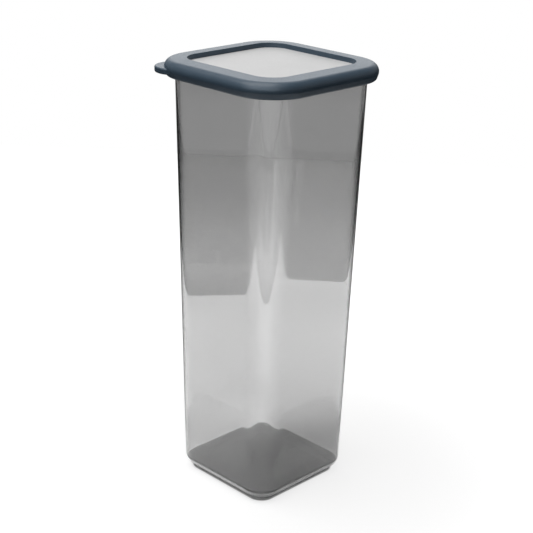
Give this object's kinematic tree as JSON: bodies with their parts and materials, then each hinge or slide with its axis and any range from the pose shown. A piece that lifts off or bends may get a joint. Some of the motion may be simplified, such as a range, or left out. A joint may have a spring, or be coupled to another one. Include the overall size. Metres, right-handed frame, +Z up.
{
  "type": "storage container",
  "caption": "Tall square see-through food keeper: tapered smoke-clear tub with rounded corners and a stacking foot, closed by a soft push-on lid frame with a pull tab and a pale window plate.",
  "frame": {"origin": "middle of the stacking foot, on the table", "axes": "+Z up from the foot to the lid; X and Y square to the flat sides; the pull tab stands on the corner between -X and +Y"},
  "size_m": [0.11, 0.11, 0.2827],
  "materials": {
    "tub_plastic": "clear smoke-grey moulded plastic, polished",
    "frame_plastic": "soft satin blue-grey plastic with a fine texture",
    "window_plastic": "pale frosted plastic, lightly satin"
  },
  "bodies": {
    "container": {"container_body": "tub_plastic"},
    "lid": {"lid_rim": "frame_plastic", "lid_panel": "window_plastic"}
  },
  "joints": [
    {"name": "lid_lift", "type": "slide", "parent": "container", "child": "lid", "axis": [0, 0, 1], "range_m": [0, 0.12]}
  ]
}
